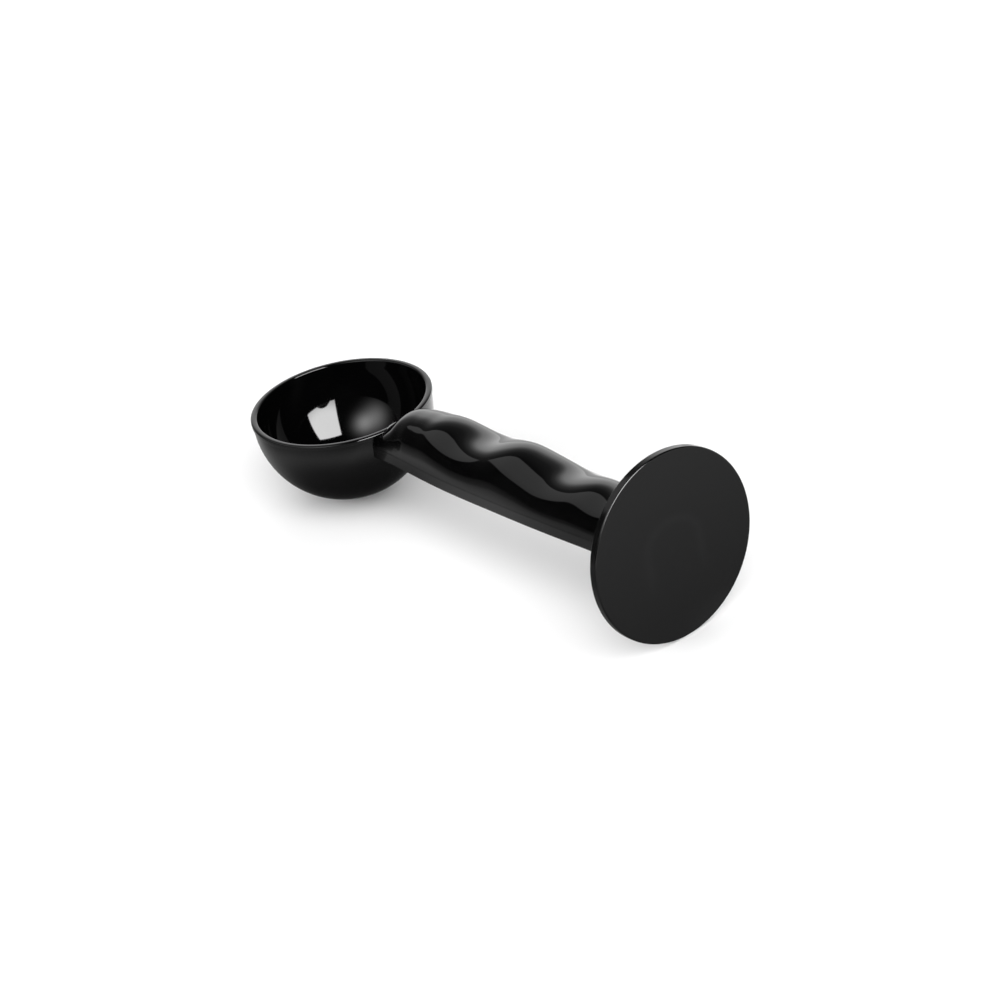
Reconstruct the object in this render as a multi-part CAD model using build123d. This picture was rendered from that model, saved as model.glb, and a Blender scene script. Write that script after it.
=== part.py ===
from build123d import *
import math
import os

# Coffee measuring scoop with a tamper on the other end of its handle.
# Millimetres, +Z up. The long axis is X: the tamper's working face is the
# plane x = 0, and the bowl is at the -X end with its rim facing up.
# The origin is the centre of the tamper's working face.

# ---------------------------------------------------------------- dimensions
# joints between the pieces
GAP = 0.05               # visible butt joints
FIT = 0.10               # clearance round tongues, tenons and pins

# tamper disc
DISC_R = 25.0
DISC_T = 2.3
DISC_EDGE = 0.35         # rounding on both edges

# bowl: a hemisphere and a little more, with a small bead round the rim
BOWL_X = -130.5          # bowl axis
BOWL_CZ = 1.55           # height of the sphere's centre
BOWL_RO = 23.83          # outer sphere
BOWL_WALL = 1.35
BOWL_RI = BOWL_RO - BOWL_WALL
RIM_Z = 3.66             # rim plane
RIM_RO = 24.16           # outside of the bead
RIM_RI = 22.5            # mouth
BEAD_H = 1.35            # height of the bead
BEAD_RISE = 0.10         # how far the bead's underside climbs outwards
BEAD_LOW_EDGE = 0.15     # roundings on the bead's lower edge,
RIM_OUT_EDGE = 0.34      # the rim's outer edge
RIM_IN_EDGE = 0.30       # and the rim's inner edge

# handle: an arched upper shell with three finger waves, on a flat-sided tray
SEAM_Z = 0.40            # split line between shell and tray
BASE_Z = -2.90           # underside of the handle
SHELL_T = 2.0            # wall of the upper shell
TRAY_T = 1.9             # side wall of the tray
FLOOR_T = 1.6            # floor of the tray
HANDLE_END = -DISC_T - GAP   # where shell and tray stop short of the disc

WAVE_POWER = 2.19        # how the wave grows from the seam up to the crown
DROP = 0.80              # depth of the arch's centre under the seam: its sides lean in
NOSE_X = (-100.0, -94.0)   # the arch turns into a half ellipse towards the bowl
SECTION_POINTS = 17      # spline points over one arched section
PLAN_POINTS = 15         # spline points along one side of the plan outline

# stations along the handle: x, half width at the seam, height of the crown
# over the seam, fullness of the shoulders
STATIONS = [
    (-109.6, 8.13, 3.12, 0.46),
    (-108.6, 8.13, 3.28, 0.46),
    (-107.6, 8.14, 3.50, 0.46),
    (-106.4, 8.17, 3.95, 0.46),
    (-105.2, 8.18, 4.85, 0.46),
    (-103.9, 8.20, 5.93, 0.46),
    (-102.4, 8.24, 7.13, 0.46),
    (-100.6, 8.31, 8.42, 0.46),
    (-98.0, 8.50, 9.35, 0.47),
    (-95.0, 8.73, 9.70, 0.48),
    (-92.0, 8.98, 9.95, 0.50),
    (-89.0, 9.24, 10.15, 0.52),
    (-86.0, 9.48, 10.39, 0.56),
    (-83.0, 9.70, 10.23, 0.61),
    (-80.0, 9.88, 9.68, 0.66),
    (-77.0, 10.02, 8.99, 0.70),
    (-74.0, 10.13, 8.51, 0.71),
    (-71.0, 10.20, 8.44, 0.68),
    (-68.0, 10.26, 8.79, 0.61),
    (-65.0, 10.30, 9.45, 0.51),
    (-62.0, 10.33, 10.22, 0.42),
    (-59.0, 10.37, 10.79, 0.36),
    (-56.0, 10.40, 10.97, 0.34),
    (-53.0, 10.43, 10.65, 0.36),
    (-50.0, 10.45, 10.02, 0.40),
    (-47.0, 10.47, 9.31, 0.43),
    (-44.0, 10.47, 8.59, 0.42),
    (-41.0, 10.45, 8.04, 0.36),
    (-38.0, 10.42, 7.96, 0.26),
    (-35.0, 10.38, 8.27, 0.15),
    (-32.0, 10.32, 8.78, 0.04),
    (-29.0, 10.26, 9.23, -0.03),
    (-26.0, 10.20, 9.40, -0.07),
    (-23.0, 10.14, 9.17, -0.08),
    (-20.0, 10.10, 8.81, -0.08),
    (-17.0, 10.06, 8.71, -0.08),
    (-14.0, 10.04, 8.81, -0.08),
    (-11.0, 10.01, 8.86, -0.10),
    (-6.5, 9.97, 8.89, -0.14),
    (-DISC_T + 0.6, 9.91, 9.00, -0.20),
]
HALF_WIDTH, CROWN = 1, 2   # columns of STATIONS
FIRST_X = STATIONS[0][0]
LAST_X = STATIONS[-1][0]

# tongue along the tray's side walls
TONGUE_H = 1.5           # height over the seam
TONGUE_ROOT = 0.6        # depth under the seam, inside the tray's wall
TONGUE_T = 0.85
TONGUE_X = (-103.0, -DISC_T - 0.8)
# rebate for it in the shell
REBATE_EXTRA = 0.05      # cut this much nearer the outside than FIT asks for
REBATE_OVERRUN = 0.2     # past the tongue's end at the bowl
UNDERCUT = 1.0           # how far cuts at the seam start below it

# bowl's tenon and disc's spigot: plugs in the two ends of the handle
PLUG_BASE_Z = BASE_Z + FLOOR_T + FIT
PLUG_OVERLAP = 0.2       # the plug's lower half rises this far over the seam
TENON_X = -95.0          # how far the tenon reaches into the handle
TENON_Y = 4.9            # half width of the tenon's arched part
TENON_CUT_INSET = 0.3    # the tenon starts this far inside the middle of the rim
TENON_CORE = {"x0": -100.4, "half_y": 3.5, "z0": PLUG_BASE_Z + 1.5, "z1": 5.4}
SPIGOT_X = -11.0         # how far the spigot reaches into the handle
SPIGOT_SINK = 0.3        # overlap of spigot and disc
SPIGOT_CORE = {"x1": -DISC_T - 0.2, "half_y": 5.6, "z0": PLUG_BASE_Z + 1.6, "z1": 4.6}

# locating pins of the shell in the tray's sockets
PIN_X = (-80.0, -28.0)
PIN_R = 1.5
PIN_TIP_Z = -0.6
PIN_SINK = 0.7           # how far a pin runs up into the shell's roof
SOCKET_R = 2.9
SOCKET_TOP_Z = 1.6
SOCKET_ROOT_Z = BASE_Z + 0.5   # inside the tray's floor
SOCKET_HOLE_Z = (-0.9, 2.9)    # bottom of the hole, and a height above the socket

OVERRUN = 1.0            # how far cutters run past an open end
FAR = 200.0              # beyond every piece
BLACK = (0.02, 0.02, 0.022)


# ------------------------------------------------------------------- helpers
def slab(x0, x1, half_y, z0, z1):
    """Box between the given planes, symmetric about y = 0."""
    return Pos((x0 + x1) / 2, 0, (z0 + z1) / 2) * Box(x1 - x0, 2 * half_y, z1 - z0)


def post(x, radius, z0, z1):
    """Upright cylinder on the plane y = 0."""
    return Pos(x, 0, (z0 + z1) / 2) * Cylinder(radius, z1 - z0)


def station_value(x, column):
    """A column of STATIONS at x, by straight lines between stations."""
    for here, following in zip(STATIONS, STATIONS[1:]):
        if x <= following[0]:
            share = (x - here[0]) / (following[0] - here[0])
            return here[column] + (following[column] - here[column]) * share
    return STATIONS[-1][column]


def arch_section(x, half, height, full, shrink):
    """(y, z) points of one arched section from the +Y side over the top, and
    the direction it starts in. The wave grows towards the crown. Near the
    bowl the section is a half ellipse that leaves the seam upright; further
    along, the arch's sides lean in a little at the seam."""
    share = min(1.0, max(0.0, (NOSE_X[1] - x) / (NOSE_X[1] - NOSE_X[0])))
    nose = share ** 3 * (10 - 15 * share + 6 * share * share)
    drop = DROP * (1 - nose)
    side = math.hypot(half, drop)
    crown = height + drop

    def point(angle):
        shoulder = full * math.sin(2 * angle) ** 2
        wave = side + (crown - side) * math.sin(angle) ** WAVE_POWER + shoulder
        ellipse = 1 / math.hypot(math.cos(angle) / side, math.sin(angle) / crown)
        radius = wave + (ellipse - wave) * nose - shrink
        return radius * math.cos(angle), SEAM_Z - drop + radius * math.sin(angle)

    # home in on the angle at which the curve crosses the seam
    start = 0.0
    for _ in range(12):
        y, z = point(start)
        start = math.asin(drop / math.hypot(y, z - SEAM_Z + drop))
    step = (math.pi - 2 * start) / (SECTION_POINTS - 1)
    points = [point(start + step * i) for i in range(SECTION_POINTS)]
    points[0] = (points[0][0], SEAM_Z)
    points[-1] = (-points[0][0], SEAM_Z)

    ahead_y, ahead_z = point(start + 0.001)
    y = ahead_y - points[0][0]
    z = ahead_z - SEAM_Z
    length = math.hypot(y, z)
    return points, (y / length, z / length)


def arch_solid(shrink):
    """Loft of the arched sections, moved inwards by shrink, closed along the seam."""
    faces = []
    for x, half, height, full in STATIONS:
        points, (dir_y, dir_z) = arch_section(x, half, height, full, shrink)
        top = Spline(*[(x, y, z) for y, z in points],
                     tangents=[(0, dir_y, dir_z), (0, dir_y, -dir_z)])
        floor = Line(top @ 1, top @ 0)
        faces.append(Face(Wire([top, floor])))
    return loft(faces)


def plan_solid(inset, z_from, z_to, x_from=FIRST_X, x_to=LAST_X):
    """Upright prism with the handle's plan outline, its sides moved inwards by inset."""
    xs = [x_from + (x_to - x_from) * i / (PLAN_POINTS - 1) for i in range(PLAN_POINTS)]
    near = [(x, -(station_value(x, HALF_WIDTH) - inset), z_from) for x in xs]
    far = [(x, -y, z) for x, y, z in near]
    outline = Wire([
        Spline(*near),
        Line(near[-1], far[-1]),
        Spline(*reversed(far)),
        Line(far[0], near[0]),
    ])
    return extrude(Face(outline), amount=z_to - z_from, dir=(0, 0, 1))


def plug_halves():
    """The handle's cavity less a fitting clearance: its arched and its low part."""
    arch = arch_solid(SHELL_T + FIT)
    low = plan_solid(TRAY_T + FIT, PLUG_BASE_Z, SEAM_Z + PLUG_OVERLAP)
    return arch, low


def bowl_clearance():
    """The bowl's whole outer form, sphere and rim bead, grown by the joint gap."""
    top = RIM_Z + GAP
    ball = Pos(BOWL_X, 0, BOWL_CZ) * Sphere(BOWL_RO + GAP)
    ball = ball - slab(-FAR, FAR, FAR, top, FAR)
    return ball + post(BOWL_X, RIM_RO + GAP, RIM_Z - BEAD_H - GAP, top)


# ---------------------------------------------------------------------- bowl
def make_cup():
    """The bowl without its tenon, revolved from a half profile."""
    under_z = RIM_Z - BEAD_H
    under_r = math.sqrt(BOWL_RO ** 2 - (under_z - BOWL_CZ) ** 2)
    low_z = under_z + BEAD_RISE
    # the middle of a quarter round lies this share of its radius from each side
    mid = 1 - math.sqrt(0.5)
    low_mid, out_mid, in_mid = (
        edge * mid for edge in (BEAD_LOW_EDGE, RIM_OUT_EDGE, RIM_IN_EDGE))

    def on_sphere(radius, degrees):
        """Profile point at an angle up from the bottom pole."""
        angle = math.radians(degrees)
        return radius * math.sin(angle), BOWL_CZ - radius * math.cos(angle)

    outer_pole = (0, BOWL_CZ - BOWL_RO)
    inner_pole = (0, BOWL_CZ - BOWL_RI)
    with BuildPart() as cup:
        with BuildSketch(Plane.XZ):
            with BuildLine():
                # outside, from the bottom pole up to the bead
                ThreePointArc(outer_pole, on_sphere(BOWL_RO, 50), (under_r, under_z))
                Line((under_r, under_z), (RIM_RO - BEAD_LOW_EDGE, low_z))
                ThreePointArc((RIM_RO - BEAD_LOW_EDGE, low_z),
                              (RIM_RO - low_mid, low_z + low_mid),
                              (RIM_RO, low_z + BEAD_LOW_EDGE))
                Line((RIM_RO, low_z + BEAD_LOW_EDGE), (RIM_RO, RIM_Z - RIM_OUT_EDGE))
                ThreePointArc((RIM_RO, RIM_Z - RIM_OUT_EDGE),
                              (RIM_RO - out_mid, RIM_Z - out_mid),
                              (RIM_RO - RIM_OUT_EDGE, RIM_Z))
                # flat top of the rim, and its inner edge
                Line((RIM_RO - RIM_OUT_EDGE, RIM_Z), (RIM_RI + RIM_IN_EDGE, RIM_Z))
                ThreePointArc((RIM_RI + RIM_IN_EDGE, RIM_Z),
                              (RIM_RI + in_mid, RIM_Z - in_mid),
                              (RIM_RI, RIM_Z - RIM_IN_EDGE))
                # inside, down to the bottom pole
                Line((RIM_RI, RIM_Z - RIM_IN_EDGE), (BOWL_RI, BOWL_CZ))
                ThreePointArc((BOWL_RI, BOWL_CZ), on_sphere(BOWL_RI, 45), inner_pole)
                Line(inner_pole, outer_pole)
            make_face()
        revolve(axis=Axis.Z)
    return Pos(BOWL_X, 0, 0) * cup.part


def make_bowl(plug_arch, plug_low):
    """Cup with a D-shaped tenon on its outer wall that fills the handle's mouth."""
    tenon = (plug_arch & slab(FIRST_X, TENON_X, TENON_Y, -FAR, FAR)) + plug_low
    tenon = tenon & slab(FIRST_X, TENON_X, FAR, -FAR, FAR)
    tenon = tenon - post(BOWL_X, (RIM_RI + RIM_RO) / 2 - TENON_CUT_INSET, -FAR, FAR)
    # cored from its open end, so that its walls are even
    tenon = tenon - slab(x1=TENON_X + OVERRUN, **TENON_CORE)
    return make_cup() + tenon


# ---------------------------------------------------------------- grip shell
def make_shell():
    keep = slab(-FAR, HANDLE_END, FAR, SEAM_Z + GAP / 2, FAR)
    shell = (arch_solid(0.0) & keep) - arch_solid(SHELL_T)
    # rebate along the inside of the lower edges, for the tray's tongue
    rebate = plan_solid(SHELL_T - TONGUE_T - FIT - REBATE_EXTRA,
                        SEAM_Z - UNDERCUT, SEAM_Z + TONGUE_H + FIT,
                        x_from=TONGUE_X[0] - REBATE_OVERRUN)
    mouth = post(BOWL_X, RIM_RI, -FAR, FAR)
    shell = shell - rebate - bowl_clearance() - mouth
    # without the hair-thin flake the cuts leave under the rim's bead
    shell = max(shell.solids(), key=lambda solid: solid.volume)
    # locating pins, hanging from the roof
    for x in PIN_X:
        pin_top = SEAM_Z + station_value(x, CROWN) - SHELL_T + PIN_SINK
        shell = shell + post(x, PIN_R, PIN_TIP_Z, pin_top)
    return shell


# --------------------------------------------------------------- handle tray
def make_tray():
    tray = plan_solid(0.0, BASE_Z, SEAM_Z - GAP / 2)
    tray = tray & slab(-FAR, HANDLE_END, FAR, -FAR, FAR)
    tray = tray - plan_solid(TRAY_T, BASE_Z + FLOOR_T, SEAM_Z + OVERRUN)
    # tongue: a thin upstand along the inside of both side walls
    tongue = plan_solid(TRAY_T - TONGUE_T, SEAM_Z - TONGUE_ROOT, SEAM_Z + TONGUE_H, *TONGUE_X)
    tongue = tongue - plan_solid(TRAY_T, SEAM_Z - UNDERCUT, SEAM_Z + TONGUE_H + OVERRUN)
    tongue = tongue & slab(*TONGUE_X, FAR, -FAR, FAR)
    tray = tray + tongue
    tray = tray - bowl_clearance()
    # sockets for the shell's pins
    for x in PIN_X:
        tray = tray + post(x, SOCKET_R, SOCKET_ROOT_Z, SOCKET_TOP_Z)
        tray = tray - post(x, PIN_R + FIT, *SOCKET_HOLE_Z)
    return tray


# --------------------------------------------------------------- tamper disc
def make_disc(plug):
    """Disc with a cored spigot that plugs the handle's end."""
    disc = Pos(-DISC_T / 2, 0, 0) * Rot(0, 90, 0) * Cylinder(DISC_R, DISC_T)
    disc = fillet(disc.edges().filter_by(GeomType.CIRCLE), DISC_EDGE)
    spigot = plug & slab(SPIGOT_X, -DISC_T + SPIGOT_SINK, FAR, -FAR, FAR)
    spigot = spigot - slab(x0=SPIGOT_X - OVERRUN, **SPIGOT_CORE)
    return disc + spigot


# -------------------------------------------------------------------- export
plug_arch, plug_low = plug_halves()
PIECES = {
    "scoop_bowl": make_bowl(plug_arch, plug_low),
    "grip_shell": make_shell(),
    "handle_tray": make_tray(),
    "tamper_disc": make_disc(plug_arch + plug_low),
}
os.makedirs("parts", exist_ok=True)
for name, piece in PIECES.items():
    piece.label = name
    piece.color = Color(*BLACK)
    export_step(piece, "parts/" + name + ".step")
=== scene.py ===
"""A black plastic scoop with a tamper on the end of its handle.

The handle lies along X: the bowl is at the -X end with its mouth up (+Z), and the tamper disc
is at the other end, its face on the plane x = 0. The handle is an arched upper shell over a
shallow tray. Lengths are in millimetres until a mesh is made.
"""

import math
from functools import reduce

import bmesh
import bpy
import numpy as np
from mathutils import Matrix, Vector


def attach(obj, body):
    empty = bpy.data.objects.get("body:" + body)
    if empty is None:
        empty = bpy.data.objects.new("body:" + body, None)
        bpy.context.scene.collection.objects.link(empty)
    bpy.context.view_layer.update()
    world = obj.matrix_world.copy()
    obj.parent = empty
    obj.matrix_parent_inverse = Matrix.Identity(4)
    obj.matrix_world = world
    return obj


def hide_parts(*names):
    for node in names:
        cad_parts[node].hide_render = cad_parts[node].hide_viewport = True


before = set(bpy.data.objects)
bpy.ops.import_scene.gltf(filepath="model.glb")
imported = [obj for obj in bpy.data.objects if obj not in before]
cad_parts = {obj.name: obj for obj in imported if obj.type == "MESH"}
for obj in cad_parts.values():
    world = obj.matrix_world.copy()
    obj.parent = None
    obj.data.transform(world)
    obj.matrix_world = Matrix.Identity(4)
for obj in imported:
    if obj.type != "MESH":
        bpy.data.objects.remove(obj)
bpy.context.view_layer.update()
MM = 0.001

# ---------------------------------------------------------------- sizes, in millimetres
DISC_RADIUS, DISC_THICK, DISC_EDGE = 25.0, 2.3, 0.35
BOWL_X, BOWL_Z = -130.5, 1.55                      # centre of the bowl's sphere
BOWL_OUTER, BOWL_WALL = 23.83, 1.35
RIM_Z, RIM_OUTER, RIM_INNER = 3.66, 24.16, 22.5    # top and radii of the rim
BEAD_HEIGHT, BEAD_EDGE, BEAD_RISE = 1.35, 0.16, 0.05
RIM_CROWN, RIM_POWER = 0.36, 2.3                   # height and squareness of the rim's dome
SEAM_Z, BASE_Z = 0.40, -2.90                       # seam of shell and tray, underside of tray
SEAM_EDGE, BASE_EDGE = 0.07, 0.4                   # edge roundings
SHELL_WALL, TRAY_WALL, TRAY_FLOOR = 2.0, 1.9, 1.6
GAP, FIT = 0.05, 0.10                              # gap between pieces, slack round the tongue
TONGUE_HEIGHT, TONGUE_THICK = 1.5, 0.85            # the tray's upstanding tongue
REBATE_START_X, REBATE_RUN_IN, REBATE_EXTRA = -103.0, 0.4, 0.05
HANDLE_END_X = -DISC_THICK - GAP
WAVE_POWER, CENTRE_DROP = 2.19, 0.80               # shape of the arched section
NOSE_START_X, NOSE_END_X = -100.0, -94.0           # the section turns elliptical towards the bowl
SINK_DEPTH, SINK_RADIUS, SINK_WIDTH = 0.035, 8.6, 1.5
SINK_STRETCH = 1.25                                # flattens the arch of the sink mark in Z

# Stations along the handle: x, half width at the seam, height of the crown over the seam,
# fullness of the shoulders.
STATIONS = np.array([
    (-109.6, 8.13, 3.12, 0.46), (-108.6, 8.13, 3.28, 0.46),
    (-107.6, 8.14, 3.50, 0.46), (-106.4, 8.17, 3.95, 0.46),
    (-105.2, 8.18, 4.85, 0.46), (-103.9, 8.20, 5.93, 0.46),
    (-102.4, 8.24, 7.13, 0.46), (-100.6, 8.31, 8.42, 0.46),
    (-98.0, 8.50, 9.35, 0.47), (-95.0, 8.73, 9.70, 0.48),
    (-92.0, 8.98, 9.95, 0.50), (-89.0, 9.24, 10.15, 0.52),
    (-86.0, 9.48, 10.39, 0.56), (-83.0, 9.70, 10.23, 0.61),
    (-80.0, 9.88, 9.68, 0.66), (-77.0, 10.02, 8.99, 0.70),
    (-74.0, 10.13, 8.51, 0.71), (-71.0, 10.20, 8.44, 0.68),
    (-68.0, 10.26, 8.79, 0.61), (-65.0, 10.30, 9.45, 0.51),
    (-62.0, 10.33, 10.22, 0.42), (-59.0, 10.37, 10.79, 0.36),
    (-56.0, 10.40, 10.97, 0.34), (-53.0, 10.43, 10.65, 0.36),
    (-50.0, 10.45, 10.02, 0.40), (-47.0, 10.47, 9.31, 0.43),
    (-44.0, 10.47, 8.59, 0.42), (-41.0, 10.45, 8.04, 0.36),
    (-38.0, 10.42, 7.96, 0.26), (-35.0, 10.38, 8.27, 0.15),
    (-32.0, 10.32, 8.78, 0.04), (-29.0, 10.26, 9.23, -0.03),
    (-26.0, 10.20, 9.40, -0.07), (-23.0, 10.14, 9.17, -0.08),
    (-20.0, 10.10, 8.81, -0.08), (-17.0, 10.06, 8.71, -0.08),
    (-14.0, 10.04, 8.81, -0.08), (-11.0, 10.01, 8.86, -0.10),
    (-6.5, 9.97, 8.89, -0.14), (-1.7, 9.91, 9.00, -0.20),
])


# ---------------------------------------------------------------- curves
class Cubic:
    """A cubic spline through points, with not-a-knot ends."""

    def __init__(self, xs, ys):
        self.xs, self.ys = xs, ys
        count, step = len(xs), np.diff(xs)
        matrix, rhs = np.zeros((count, count)), np.zeros(count)
        matrix[0, :3] = step[1], -(step[0] + step[1]), step[0]
        matrix[-1, -3:] = step[-1], -(step[-1] + step[-2]), step[-2]
        for i in range(1, count - 1):
            matrix[i, i - 1:i + 2] = step[i - 1], 2 * (step[i - 1] + step[i]), step[i]
            rhs[i] = 6 * ((ys[i + 1] - ys[i]) / step[i] - (ys[i] - ys[i - 1]) / step[i - 1])
        self.bend = np.linalg.solve(matrix, rhs)

    def __call__(self, x):
        x = np.asarray(x, float)
        i = np.clip(np.searchsorted(self.xs, x) - 1, 0, len(self.xs) - 2)
        step, bend, ys = self.xs[i + 1] - self.xs[i], self.bend, self.ys
        ahead, behind = self.xs[i + 1] - x, x - self.xs[i]
        return ((bend[i] * ahead ** 3 + bend[i + 1] * behind ** 3) / (6 * step)
                + (ys[i] / step - bend[i] * step / 6) * ahead
                + (ys[i + 1] / step - bend[i + 1] * step / 6) * behind)


half_width, crown_height, fullness = (Cubic(STATIONS[:, 0], STATIONS[:, i]) for i in (1, 2, 3))


def nose_share(x):
    """0 along the handle, easing to 1 at its elliptical nose by the bowl."""
    t = np.clip((NOSE_END_X - x) / (NOSE_END_X - NOSE_START_X), 0, 1)
    return t ** 3 * (10 - 15 * t + 6 * t * t)


def arch(x, angle, inset=0.0):
    """(y, z) on the arched surface: angle runs from the +Y seam (about 0) over the crown
    to the -Y seam (about pi)."""
    nose = nose_share(x)
    drop = CENTRE_DROP * (1 - nose)
    side, crown = np.hypot(half_width(x), drop), crown_height(x) + drop
    wave = (side + (crown - side) * np.abs(np.sin(angle)) ** WAVE_POWER
            + fullness(x) * np.sin(2 * angle) ** 2)
    ellipse = 1 / np.hypot(np.cos(angle) / side, np.sin(angle) / crown)
    radius = wave + (ellipse - wave) * nose - inset
    return radius * np.cos(angle), SEAM_Z - drop + radius * np.sin(angle)


def arch_start(x, z, inset=0.0):
    """The angle at which the arched surface passes the height z on its +Y side."""
    centre = SEAM_Z - CENTRE_DROP * (1 - nose_share(x))
    angle = np.zeros_like(x)
    for _ in range(14):
        y_now, z_now = arch(x, angle, inset)
        angle = np.arcsin(np.clip((z - centre) / np.hypot(y_now, z_now - centre), 0, 0.999))
    return angle


def bowl_front_x(y, z, extra):
    """x of the bowl's outside on its +X side, grown by extra; above the rim, x of the mouth."""
    def reach(squared):
        return np.sqrt(np.maximum(squared, 0.01))

    sphere = reach((BOWL_OUTER + extra) ** 2 - y ** 2 - (z - BOWL_Z) ** 2)
    bead = reach((RIM_OUTER + extra) ** 2 - y ** 2)
    mouth = reach(RIM_INNER ** 2 - y ** 2)
    x = np.where(z > RIM_Z - BEAD_HEIGHT - extra, bead, sphere)
    return BOWL_X + np.where(z > RIM_Z + extra, mouth, x)


def arc(centre_x, centre_y, radius, start, end, count):
    """Points on an arc; start and end in degrees."""
    angles = [math.radians(start + (end - start) * i / (count - 1)) for i in range(count)]
    return [(centre_x + radius * math.cos(a), centre_y + radius * math.sin(a)) for a in angles]


def line(start, end, count):
    return [(start[0] + (end[0] - start[0]) * i / (count - 1),
             start[1] + (end[1] - start[1]) * i / (count - 1)) for i in range(count)]


def no_repeats(points):
    kept = [points[0]]
    for point in points[1:]:
        if math.hypot(point[0] - kept[-1][0], point[1] - kept[-1][1]) > 1e-5:
            kept.append(point)
    return kept


# ---------------------------------------------------------------- meshes
SHARP_ANGLE = math.radians(34)


def link_object(name, mesh):
    obj = bpy.data.objects.new(name, mesh)
    bpy.context.scene.collection.objects.link(obj)
    return obj


def mesh_object(name, verts, faces):
    """An object from millimetre points: merged, facing outwards, smooth but for sharp edges."""
    mesh = bpy.data.meshes.new(name)
    mesh.from_pydata((verts * MM).tolist(), [], [tuple(int(i) for i in face) for face in faces])
    bm = bmesh.new()
    bm.from_mesh(mesh)
    bmesh.ops.remove_doubles(bm, verts=bm.verts, dist=2e-7)
    bmesh.ops.dissolve_degenerate(bm, edges=bm.edges, dist=1e-7)
    bmesh.ops.recalc_face_normals(bm, faces=bm.faces)
    for face in bm.faces:
        face.smooth = True
    for edge in bm.edges:
        edge.smooth = not (len(edge.link_faces) == 2 and edge.calc_face_angle(0.0) > SHARP_ANGLE)
    bm.to_mesh(mesh)
    bm.free()
    mesh.update()
    return link_object(name, mesh)


def strip(row, other):
    """Quads between two rows of vertex numbers."""
    return list(zip(row, row[1:], other[1:], other))


def lathe(profile, segments):
    """Turns a closed (radius, height) profile round Z; a point on the axis is one vertex."""
    verts, rows = [], []
    turns = [2 * math.pi * i / segments for i in range(segments)]
    for radius, height in profile:
        if radius < 1e-9:
            rows.append([len(verts)])
            verts.append((0, 0, height))
        else:
            rows.append(list(range(len(verts), len(verts) + segments)))
            verts += [(radius * math.cos(a), radius * math.sin(a), height) for a in turns]
    faces = []
    for row, other in zip(rows, rows[1:] + rows[:1]):
        if len(row) == 1 and len(other) == 1:
            continue
        if len(row) == 1:
            faces += [(row[0], other[(i + 1) % segments], other[i]) for i in range(segments)]
        elif len(other) == 1:
            faces += [(row[i], row[(i + 1) % segments], other[0]) for i in range(segments)]
        else:
            faces += strip(row + row[:1], other + other[:1])
    return np.array(verts, float), faces


ROUND_STEPS = 6     # rings in each rounded end of a channel
WALL_STEPS = 5      # rows across the wall at the bowl


def bowl_meeting_x(section, count):
    """x at which each length line of a section meets the bowl, found by halving."""
    low, high = np.full(count, -109.5), np.full(count, -104.0)
    for _ in range(46):
        middle = (low + high) / 2
        y, z = section(middle)
        inside = middle < bowl_front_x(y, z, GAP)
        low, high = np.where(inside, middle, low), np.where(inside, high, middle)
    return high


def lay_on_bowl(points):
    """Moves points of the wall's end onto the bowl, or onto the top of its rim."""
    x, y, z = points.T.copy()
    rim_x = BOWL_X + np.sqrt((RIM_OUTER + GAP) ** 2 - y ** 2)
    on_rim = (z > RIM_Z - 0.4) & (x < rim_x)
    z = np.where(on_rim, RIM_Z + GAP, z)
    x = np.where(on_rim, x, np.maximum(x, bowl_front_x(y, z, GAP)))
    return np.stack([x, y, z], 1)


def sweep_channel(outer, inner, count, length_steps, bowl_round, end_round):
    """Closed mesh of a thin-walled channel from the bowl to the disc, open on one long side.

    outer(x, inset) and inner(x) give the (y, z) of matched points, each at its own x. The
    outer skin's edge is rounded by bowl_round at the bowl and by end_round at the disc.
    """
    outer_x, inner_x = bowl_meeting_x(outer, count), bowl_meeting_x(inner, count)
    outer_rings, inner_rings = [], []

    def add_ring(x_out, inset, x_in):
        outer_rings.append(np.stack([x_out, *outer(x_out, inset)], 1))
        inner_rings.append(np.stack([x_in, *inner(x_in)], 1))

    for i in range(ROUND_STEPS):
        a = math.pi / 2 * (1 - i / ROUND_STEPS)
        add_ring(outer_x + bowl_round * (1 - math.sin(a)), bowl_round * (1 - math.cos(a)), inner_x)
    for t in np.linspace(0, 1, length_steps):
        add_ring(outer_x + bowl_round + (HANDLE_END_X - end_round - outer_x - bowl_round) * t,
                 0.0, inner_x + (HANDLE_END_X - inner_x) * t)
    for i in range(1, ROUND_STEPS + 1):
        a = math.pi / 2 * i / ROUND_STEPS
        add_ring(np.full(count, HANDLE_END_X - end_round + end_round * math.sin(a)),
                 end_round * (1 - math.cos(a)), np.full(count, HANDLE_END_X))

    around = 2 * count
    verts = [np.concatenate([out, into[::-1]]) for out, into in zip(outer_rings, inner_rings)]
    last = (len(verts) - 1) * around
    faces = []
    for base in range(0, last, around):
        row = list(range(base, base + around)) + [base]
        faces += strip(row, [i + around for i in row])
    # flat end at the disc
    faces += strip(range(last, last + count), [last + around - 1 - j for j in range(count)])
    # end at the bowl: rows across the wall, then its two long sides
    rows = [list(range(count))]
    base = last + around
    for i in range(1, WALL_STEPS):
        across = outer_rings[0] + (inner_rings[0] - outer_rings[0]) * (i / WALL_STEPS)
        verts.append(lay_on_bowl(across))
        rows.append(list(range(base, base + count)))
        base += count
    rows.append([around - 1 - j for j in range(count)])
    for row, other in zip(rows, rows[1:]):
        faces += strip(row, other)
    faces.append(tuple(row[0] for row in rows))
    faces.append(tuple(row[-1] for row in rows))
    return np.concatenate(verts), faces


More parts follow.
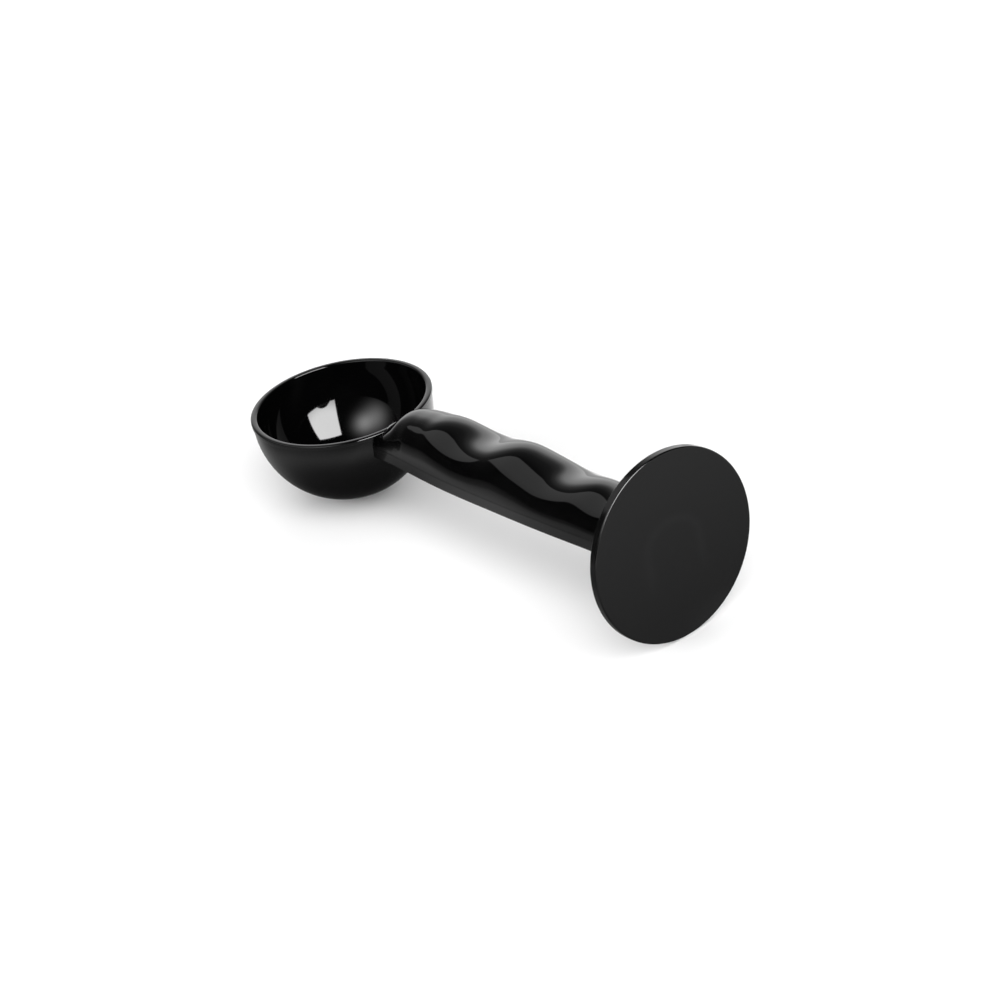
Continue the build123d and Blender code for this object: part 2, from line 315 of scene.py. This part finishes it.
def section_index(count, edge_count):
    """For a section's points from +Y to -Y: steps in from the nearer edge, sign of y, and the
    share of the way across the part between the two edges."""
    index = np.arange(count)
    from_edge = np.minimum(index, count - 1 - index)
    sign = np.where(index < count / 2, 1.0, -1.0)
    return from_edge, sign, np.clip((index - edge_count) / (count - 1 - 2 * edge_count), 0, 1)


# ---------------------------------------------------------------- the bowl
def bowl_mesh():
    inner = BOWL_OUTER - BOWL_WALL
    bead_z = RIM_Z - BEAD_HEIGHT
    edge_z = bead_z + BEAD_RISE + BEAD_EDGE
    outside = arc(0, BOWL_Z, BOWL_OUTER, -90,
                  math.degrees(math.asin((bead_z - BOWL_Z) / BOWL_OUTER)), 130)
    outside[0] = (0.0, BOWL_Z - BOWL_OUTER)
    outside += line(outside[-1], (RIM_OUTER - BEAD_EDGE, bead_z + BEAD_RISE), 4)[1:]
    outside += arc(RIM_OUTER - BEAD_EDGE, edge_z, BEAD_EDGE, -90, 0, 8)
    outside += line((RIM_OUTER, edge_z), (RIM_OUTER, RIM_Z - RIM_CROWN), 6)
    middle, half = (RIM_OUTER + RIM_INNER) / 2, (RIM_OUTER - RIM_INNER) / 2
    for i in range(1, 48):                               # the rim's top, a little domed
        a = math.pi * i / 48
        across = math.copysign(abs(math.cos(a)) ** (2 / RIM_POWER), math.cos(a))
        outside.append((middle + half * across,
                        RIM_Z - RIM_CROWN + RIM_CROWN * math.sin(a) ** (2 / RIM_POWER)))
    outside += line((RIM_INNER, RIM_Z - RIM_CROWN), (inner, BOWL_Z), 10)
    inside = arc(0, BOWL_Z, inner, 0, -90, 130)
    inside[-1] = (0.0, BOWL_Z - inner)
    verts, faces = lathe(no_repeats(outside + inside), 384)
    verts[:, 0] += BOWL_X
    return verts, faces


# ---------------------------------------------------------------- the handle's upper shell
SHELL_COUNT, SHELL_EDGE_COUNT, REBATE_COUNT = 260, 6, 3
SHELL_LOW = SEAM_Z + GAP / 2
SHELL_STEP, SHELL_SIGN, SHELL_ACROSS = section_index(SHELL_COUNT, SHELL_EDGE_COUNT)


def shell_outer(x, inset=0.0):
    start = arch_start(x, SHELL_LOW + SEAM_EDGE, inset)
    side = arch(x, start, inset)[0]
    y, z = arch(x, start + (math.pi - 2 * start) * SHELL_ACROSS, inset)
    a = math.pi / 2 * np.clip(SHELL_STEP / SHELL_EDGE_COUNT, 0, 1)
    on_edge = SHELL_STEP < SHELL_EDGE_COUNT
    return (np.where(on_edge, SHELL_SIGN * (side - SEAM_EDGE + SEAM_EDGE * np.sin(a)), y),
            np.where(on_edge, SHELL_LOW + SEAM_EDGE - SEAM_EDGE * np.cos(a), z))


def shell_inner(x):
    """Inside of the shell, with a rebate along both edges for the tray's tongue."""
    roof = np.maximum(arch(x, math.pi / 2, SHELL_WALL)[1] - 0.1, SHELL_LOW + 0.2)
    top = np.minimum(SEAM_Z + TONGUE_HEIGHT + FIT, roof)
    start = arch_start(x, top, SHELL_WALL) * 1.01
    y, z = arch(x, start + (math.pi - 2 * start) * SHELL_ACROSS, SHELL_WALL)
    opened = np.clip((x - REBATE_START_X + REBATE_RUN_IN) / REBATE_RUN_IN, 0, 1)
    rebate_y = half_width(x) - SHELL_WALL + (TONGUE_THICK + FIT + REBATE_EXTRA) * opened
    top_y = arch(x, start, SHELL_WALL)[0]
    past = np.maximum(SHELL_STEP - REBATE_COUNT, 0)
    edge_y = rebate_y + (top_y - rebate_y) * past / REBATE_COUNT
    edge_z = np.where(SHELL_STEP <= REBATE_COUNT,
                      SHELL_LOW + (top - SHELL_LOW) * SHELL_STEP / REBATE_COUNT, top)
    on_edge = SHELL_STEP < SHELL_EDGE_COUNT
    return (np.where(on_edge, SHELL_SIGN * edge_y, y),
            np.where(on_edge, edge_z, np.maximum(z, top)))


def shell_mesh():
    return sweep_channel(shell_outer, shell_inner, SHELL_COUNT, length_steps=430,
                         bowl_round=0.16, end_round=0.12)


# ---------------------------------------------------------------- the handle's lower tray
def tray_paths():
    """Half of the tray's section, outside and inside, as rows of (inset from the half width, z)."""
    top = SEAM_Z - GAP / 2
    seam, base = SEAM_EDGE, BASE_EDGE
    tongue = TRAY_WALL - TONGUE_THICK
    quarter = math.pi / 2
    outside = [(tongue, SEAM_Z + TONGUE_HEIGHT), (tongue, SEAM_Z + TONGUE_HEIGHT / 2),
               (tongue, top), (0.5, top), (seam + 0.05, top)]
    outside += [(seam - seam * math.sin(a), top - seam + seam * math.cos(a))
                for a in np.linspace(0, quarter, 6)]
    outside += [(0.0, top - seam + (BASE_Z + base - top + seam) * t)
                for t in np.linspace(0.1, 0.95, 12)]
    outside += [(base - base * math.cos(a), BASE_Z + base - base * math.sin(a))
                for a in np.linspace(0, quarter, 12)]
    depth = BASE_Z + TRAY_FLOOR - SEAM_Z - TONGUE_HEIGHT
    inside = [(TRAY_WALL, SEAM_Z + TONGUE_HEIGHT + depth * t)
              for t in np.linspace(0, 1, len(outside))]
    return np.array(outside), np.array(inside)


TRAY_OUTSIDE, TRAY_INSIDE = tray_paths()
TRAY_LAST = len(TRAY_OUTSIDE) - 1
TRAY_COUNT = 2 * len(TRAY_OUTSIDE) + 24            # two sides and the points between them
TRAY_STEP, TRAY_SIGN, TRAY_ACROSS = section_index(TRAY_COUNT, TRAY_LAST)


def tray_section(path, x, inset=0.0):
    side_inset, z = path[np.clip(TRAY_STEP, 0, TRAY_LAST)].T
    width = half_width(x)
    side_y = TRAY_SIGN * (width - side_inset - inset)
    flat_y = (width - path[-1, 0] - inset) * (1 - 2 * TRAY_ACROSS)
    return (np.where(TRAY_STEP <= TRAY_LAST, side_y, flat_y),
            z + np.where(z < BASE_Z + 0.5, inset, 0.0))


def tray_mesh():
    return sweep_channel(lambda x, inset=0.0: tray_section(TRAY_OUTSIDE, x, inset),
                         lambda x: tray_section(TRAY_INSIDE, x),
                         TRAY_COUNT, length_steps=260, bowl_round=0.06, end_round=0.06)


# ---------------------------------------------------------------- the tamper disc
def disc_mesh():
    flat, edge = DISC_RADIUS - DISC_EDGE, DISC_EDGE
    profile = [(0.0, 0.0)] + [(r, 0.0) for r in np.linspace(0.35, flat, 84)]
    profile += arc(flat, -edge, edge, 90, 0, 14)
    profile += line((DISC_RADIUS, -edge), (DISC_RADIUS, -DISC_THICK + edge), 6)
    profile += arc(flat, -DISC_THICK + edge, edge, 0, -90, 14)
    profile += [(r, -DISC_THICK) for r in np.linspace(flat, 0.5, 40)][1:] + [(0.0, -DISC_THICK)]
    verts, faces = lathe(no_repeats(profile), 400)
    verts = verts[:, [2, 0, 1]]                          # turn the axis from Z to X
    # sink mark of the hollow, arched wall behind the face, fading out downwards
    x, y, z = verts.T
    away = np.abs(np.hypot(y, np.maximum(z - SEAM_Z, 0) * SINK_STRETCH) - SINK_RADIUS)
    fade = np.clip((z + 10.0) / 7.0, 0, 1)
    depth = SINK_DEPTH * np.exp(-(away / SINK_WIDTH) ** 2) * fade * fade * (3 - 2 * fade)
    verts[:, 0] -= np.where(x > -0.01, depth, 0)
    return verts, faces


# piece, the CAD node it replaces, its mesh
PIECES = (("bowl", "scoop_bowl", bowl_mesh), ("grip", "grip_shell", shell_mesh),
          ("tray", "handle_tray", tray_mesh), ("tamper", "tamper_disc", disc_mesh))
pieces = {}
for name, node, build in PIECES:
    obj = mesh_object(name, *build())
    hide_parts(node)
    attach(obj, "root")
    pieces[name] = obj


# ---------------------------------------------------------------- node helpers
class Nodes:
    """Builds the emptied node tree of a material or world. Inputs take a socket or a value."""

    def __init__(self, owner):
        owner.use_nodes = True
        self.tree = owner.node_tree
        self.tree.nodes.clear()

    def new(self, kind, inputs=None, **props):
        node = self.tree.nodes.new("ShaderNode" + kind)
        for key, value in props.items():
            setattr(node, key, value)
        for key, value in (inputs or {}).items():
            if isinstance(value, bpy.types.NodeSocket):
                self.tree.links.new(value, node.inputs[key])
            else:
                node.inputs[key].default_value = value
        return node.outputs

    def calc(self, operation, *values):
        return self.new("Math", dict(enumerate(values)), operation=operation)[0]

    def join(self, operation, parts):
        return reduce(lambda total, part: self.calc(operation, total, part), parts)

    def blend(self, first, second, share):
        """first where share is 0, second where it is 1."""
        rest = self.calc("SUBTRACT", 1.0, share)
        return self.calc("ADD", self.calc("MULTIPLY", first, rest),
                         self.calc("MULTIPLY", second, share))

    def length(self, a, b):
        """Length of the sides a and b of a right angle."""
        return self.calc("SQRT", self.calc("ADD", self.calc("POWER", a, 2.0),
                                           self.calc("POWER", b, 2.0)))

    def ease(self, value, start, end, at_start=0.0, at_end=1.0, kind="SMOOTHSTEP"):
        """Runs from at_start to at_end as value goes from start to end."""
        inputs = dict(enumerate((value, start, end, at_start, at_end)))
        return self.new("MapRange", inputs, interpolation_type=kind)[0]

    def noise(self, vector, scale, detail=2.0):
        return self.new("TexNoise", {"Vector": vector, "Scale": scale, "Detail": detail})[0]

    def mix_shader(self, share, first, second):
        return self.new("MixShader", {0: share, 1: first, 2: second})[0]


# ---------------------------------------------------------------- plastic materials
def paint_sink_sheen(nodes, place, colour):
    """A faint painted sheen: a paler line along the sink mark on the disc's face, standing in for
    light caught by its dip.
    """
    x, y, z = nodes.new("SeparateXYZ", {0: place})
    above = nodes.calc("MAXIMUM", nodes.calc("SUBTRACT", z, SEAM_Z * MM), 0.0)
    above = nodes.calc("MULTIPLY", above, SINK_STRETCH)
    radius = nodes.length(nodes.calc("ABSOLUTE", y), above)
    line_radius, line_width = 0.0084, 0.0013             # metres
    away = nodes.calc("DIVIDE", nodes.calc("SUBTRACT", radius, line_radius), line_width)
    sheen_mask = nodes.calc("MULTIPLY", nodes.calc("MULTIPLY", away, away), -1.0)
    sheen_mask = nodes.join("MULTIPLY", [nodes.calc("EXPONENT", sheen_mask),
                                   nodes.ease(z, start=-0.013, end=-0.003),
                                   nodes.ease(x, start=-0.0006, end=-0.0004)])
    # inputs 6 and 7 and output 2 are the colour sockets
    # painted sheen colour, paler than the plastic
    sheen_colour = (0.0025, 0.0025, 0.0026, 1)
    return nodes.new("Mix", {0: sheen_mask, 6: colour, 7: sheen_colour}, data_type="RGBA")[2]


def plastic(name, roughness, seed, sink_sheen=False):
    """Near-black moulded plastic with hairline scratches, dulled edges and a faint ripple."""
    material = bpy.data.materials.new(name)
    nodes = Nodes(material)
    place = nodes.new("TexCoord")["Object"]

    # colour: a faint variation through the moulding
    colour = nodes.new("ValToRGB", {0: nodes.noise(place, scale=60.0, detail=3.0)})[0]
    stops = colour.node.color_ramp.elements
    stops[0].color = (0.0006, 0.0006, 0.00065, 1)
    stops[1].color = (0.0013, 0.0013, 0.00138, 1)
    # on the tamper, a painted sheen along the sink mark
    if sink_sheen:
        colour = paint_sink_sheen(nodes, place, colour)

    # roughness: patches, then scratches stretched along one direction, then dulled edges
    stretched = nodes.new("Mapping", {"Vector": place,
                                      "Rotation": (0.3 + seed, 0.7, 0.2 * seed),
                                      "Scale": (60.0, 5200.0, 5200.0)})[0]
    scratch = nodes.ease(nodes.noise(stretched, scale=1.0, detail=1.0), start=0.70, end=0.80)
    edge = nodes.ease(nodes.new("NewGeometry")["Pointiness"], start=0.53, end=0.60)
    scratch_rough, edge_rough = 0.04, 0.05
    rough = nodes.calc("MULTIPLY_ADD", nodes.noise(place, scale=90.0),
                       roughness * 0.6, roughness * 0.7)
    rough = nodes.calc("MULTIPLY_ADD", scratch, scratch_rough, rough)
    rough = nodes.calc("MULTIPLY_ADD", edge, edge_rough, rough)

    # bump: moulding ripple a few millimetres long
    ripple = nodes.new("Bump", {"Strength": 1.0, "Distance": 0.0000015,
                                "Height": nodes.noise(place, scale=240.0)})[0]
    surface = nodes.new("BsdfPrincipled", {"Base Color": colour, "IOR": 1.5,
                                           "Roughness": rough, "Normal": ripple})[0]
    nodes.new("OutputMaterial", {0: surface})
    return material


materials = {
    "bowl": plastic("black_gloss_bowl", roughness=0.05, seed=0.0),
    "grip": plastic("black_gloss_grip", roughness=0.05, seed=1.0),
    "tray": plastic("black_gloss_tray", roughness=0.06, seed=2.0),
    "tamper": plastic("black_satin_tamper", roughness=0.14, seed=3.0, sink_sheen=True),
}
for name, node, _ in PIECES:
    for obj in (pieces[name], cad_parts[node]):
        obj.data.materials.clear()
        obj.data.materials.append(materials[name])

# ---------------------------------------------------------------- floor
FLOOR_HALF = 4.0            # metres
FLOOR_CLEARANCE = 0.00002   # metres
# the object rests on its disc's edge and its bowl
TILT = math.asin((DISC_RADIUS - (BOWL_OUTER - BOWL_Z)) / -BOWL_X)


def painted_floor_glow(nodes):
    """Painted light: how bright the floor glows where the gloss sees it, with painted shade; places
    are in metres.
    """
    x, y, _ = nodes.new("SeparateXYZ", {0: nodes.new("NewGeometry")["Position"]})
    # painted light on the -Y side: falls off away from the handle, and dims towards the disc
    falloff, nearest, least = 0.018, 0.027, 0.08
    away = nodes.calc("MAXIMUM", nodes.calc("MULTIPLY", y, -1.0), nearest)
    front = nodes.calc("ADD", nodes.calc("DIVIDE", falloff, away), least)
    front = nodes.calc("MULTIPLY", front,
                       nodes.ease(x, start=-0.115, end=-0.050, at_start=1.10, at_end=0.50))
    # +X side, beyond the disc: rises with x up to a limit
    slope, at_disc, limit = 3.0, 0.30, 0.9
    beyond = nodes.calc("MINIMUM", nodes.calc("MULTIPLY_ADD", x, slope, at_disc), limit)
    # +Y side: evenly bright
    back = 1.45
    level = nodes.blend(front, back, nodes.ease(y, start=-0.005, end=0.03))
    level = nodes.blend(level, beyond, nodes.ease(x, start=-0.02, end=0.012))
    # painted shade under the bowl, beyond it on the -X side, and where looked at steeply
    from_bowl = nodes.length(nodes.calc("ADD", x, -BOWL_X * MM), y)
    steep = nodes.new("SeparateXYZ", {0: nodes.new("NewGeometry")["Incoming"]})[2]
    return nodes.join("MULTIPLY", [
        level,
        nodes.ease(from_bowl, start=0.014, end=0.058, at_start=0.12),
        nodes.ease(x, start=-0.175, end=-0.135, at_start=0.62),
        nodes.ease(steep, start=0.52, end=0.86, at_start=1.0, at_end=0.38),
    ])


def floor():
    mesh = bpy.data.meshes.new("floor")
    size = FLOOR_HALF
    corners = [(-size, -size, 0), (size, -size, 0), (size, size, 0), (-size, size, 0)]
    mesh.from_pydata(corners, [], [(0, 1, 2, 3)])
    obj = link_object("floor", mesh)
    obj.rotation_euler = (0, TILT, 0)
    obj.location = (0, 0, -DISC_RADIUS * MM - FLOOR_CLEARANCE)
    material = bpy.data.materials.new("floor_paper")
    nodes = Nodes(material)
    paper = nodes.new("BsdfDiffuse", {"Color": (0.82, 0.82, 0.82, 1)})[0]
    # in reflections the floor glows with this painted light and shade instead of being lit by the
    # lamps
    seen = nodes.new("Emission", {"Strength": painted_floor_glow(nodes)})[0]
    glossy = nodes.new("LightPath")["Is Glossy Ray"]
    nodes.new("OutputMaterial", {0: nodes.mix_shader(glossy, paper, seen)})
    mesh.materials.append(material)


floor()

# ---------------------------------------------------------------- studio
# Directions are (azimuth from +X towards +Y, elevation) in degrees.
SOFT_LIGHT = 1.22     # scales all the diffuse light
BACKDROP = 1.3        # what the camera sees

# glows: azimuth, elevation, sharpness, radiance
GLOSS_LOBES = ((-68, 48.6, 48, 3.9), (-87, 38, 27.6, 2.85))
SOFT_LOBES = ((210, 60, 10, 0.43), (330, 60, 10, 2.02), (0, 30, 10, 1.96), (330, 30, 10, 2.03),
              (90, 12, 14, 1.35), (120, 12, 14, 5.55), (240, 12, 14, 6.77), (330, 12, 14, 1.23))
# low glow behind the handle: degrees from its centre, radiance
LOW_GLOW = ((0, 1.5), (27, 1.35), (31, 1.0), (35, 0.6), (40, 0.3), (48, 0.12), (60, 0.04),
            (80, 0.0))
DISC_PANEL = ((16, 5.5), (-25.7, 3.8), (-15.5, 60), (31, 48))
BOWL_PANEL = ((186.5, 27.5), (172, 46.9), (158, 58), (150, 75), (235, 72), (240, 30),
              (222, 31.6), (205, 30.6))


def direction(azimuth, elevation):
    azimuth, elevation = math.radians(azimuth), math.radians(elevation)
    return Vector((math.cos(elevation) * math.cos(azimuth),
                   math.cos(elevation) * math.sin(azimuth), math.sin(elevation)))


class Sky(Nodes):
    def __init__(self, world):
        super().__init__(world)
        self.ray = self.new("TexCoord")["Generated"]

    def along(self, vector):
        inputs = {0: self.ray, 1: vector}
        return self.new("VectorMath", inputs, operation="DOT_PRODUCT")["Value"]

    def lobe(self, azimuth, elevation, sharpness, radiance):
        """A round glow, brightest at its centre."""
        power = self.calc("MULTIPLY_ADD", self.along(direction(azimuth, elevation)),
                          float(sharpness), float(-sharpness))
        return self.calc("MULTIPLY", self.calc("EXPONENT", power), radiance)

    def panel(self, corners, radiance, bright_towards, start, end, dimmest, soft=0.012):
        """A softbox between corner directions with a soft edge. It is brightest towards one
        direction; start and end are cosines from it."""
        dirs = [direction(*corner) for corner in corners]
        centre = sum(dirs, Vector()).normalized()
        parts = []
        for first, second in zip(dirs, dirs[1:] + dirs[:1]):
            normal = first.cross(second).normalized()
            if normal.dot(centre) < 0:
                normal = -normal
            parts.append(self.ease(self.along(normal), -soft, soft))
        gradient = self.along(direction(*bright_towards))
        parts.append(self.ease(gradient, start, end, at_start=dimmest))
        return self.calc("MULTIPLY", self.join("MULTIPLY", parts), radiance)

    def stepped_glow(self, azimuth, elevation, stops):
        """A round glow through (angle, radiance) stops."""
        cosine = self.along(direction(azimuth, elevation))
        return self.join("ADD", [
            self.ease(cosine, math.cos(math.radians(wide)), math.cos(math.radians(narrow)),
                      at_end=bright - dim, kind="LINEAR")
            for (narrow, bright), (wide, dim) in zip(stops, stops[1:])])

    def background(self, strength):
        return self.new("Background", {"Color": (1, 1, 1, 1), "Strength": strength})[0]


def studio():
    """Separate skies for the gloss, for diffuse light and for the camera."""
    world = bpy.data.worlds.new("studio")
    bpy.context.scene.world = world
    sky = Sky(world)
    gloss = sky.join("ADD", [
        sky.panel(DISC_PANEL, radiance=16.0, bright_towards=(0, 50),
                  start=0.70, end=0.92, dimmest=0.5),
        *[sky.lobe(*row) for row in GLOSS_LOBES],
        sky.panel(BOWL_PANEL, radiance=0.62, bright_towards=(200, 60),
                  start=0.80, end=0.98, dimmest=0.7),
        sky.stepped_glow(138, 0, LOW_GLOW),
    ])
    # dimmer in reflections of reflections
    path = sky.new("LightPath")
    again = sky.calc("GREATER_THAN", path["Glossy Depth"], 1.5)
    gloss = sky.calc("MULTIPLY", gloss, sky.calc("MULTIPLY_ADD", again, -0.85, 1.0))
    soft = sky.join("ADD", [sky.lobe(azimuth, elevation, sharpness, radiance * SOFT_LIGHT)
                            for azimuth, elevation, sharpness, radiance in SOFT_LOBES])
    light = sky.mix_shader(path["Is Glossy Ray"], sky.background(soft), sky.background(gloss))
    seen = sky.mix_shader(path["Is Camera Ray"], light, sky.background(BACKDROP))
    sky.new("OutputWorld", {0: seen})


studio()

# ---------------------------------------------------------------- camera
CAMERA_PLACE = Vector((860.13, -642.71, 590.35))
CAMERA_RIGHT = Vector((0.6367, 0.7489, -0.1836))
CAMERA_DOWN = Vector((0.2582, -0.4314, -0.8644))
CAMERA_FORWARD = Vector((-0.7266, 0.5030, -0.4680))


def camera():
    data = bpy.data.cameras.new("camera")
    data.lens = 181.43
    data.sensor_width = 36.0
    data.clip_start = 0.01
    data.clip_end = 50.0
    obj = link_object("camera", data)
    turn = Matrix((CAMERA_RIGHT, -CAMERA_DOWN, -CAMERA_FORWARD)).transposed()
    obj.matrix_world = Matrix.Translation(CAMERA_PLACE * MM) @ turn.to_4x4()
    bpy.context.scene.camera = obj


camera()
bpy.context.scene.view_settings.view_transform = "Standard"
bpy.context.scene.view_settings.look = "None"
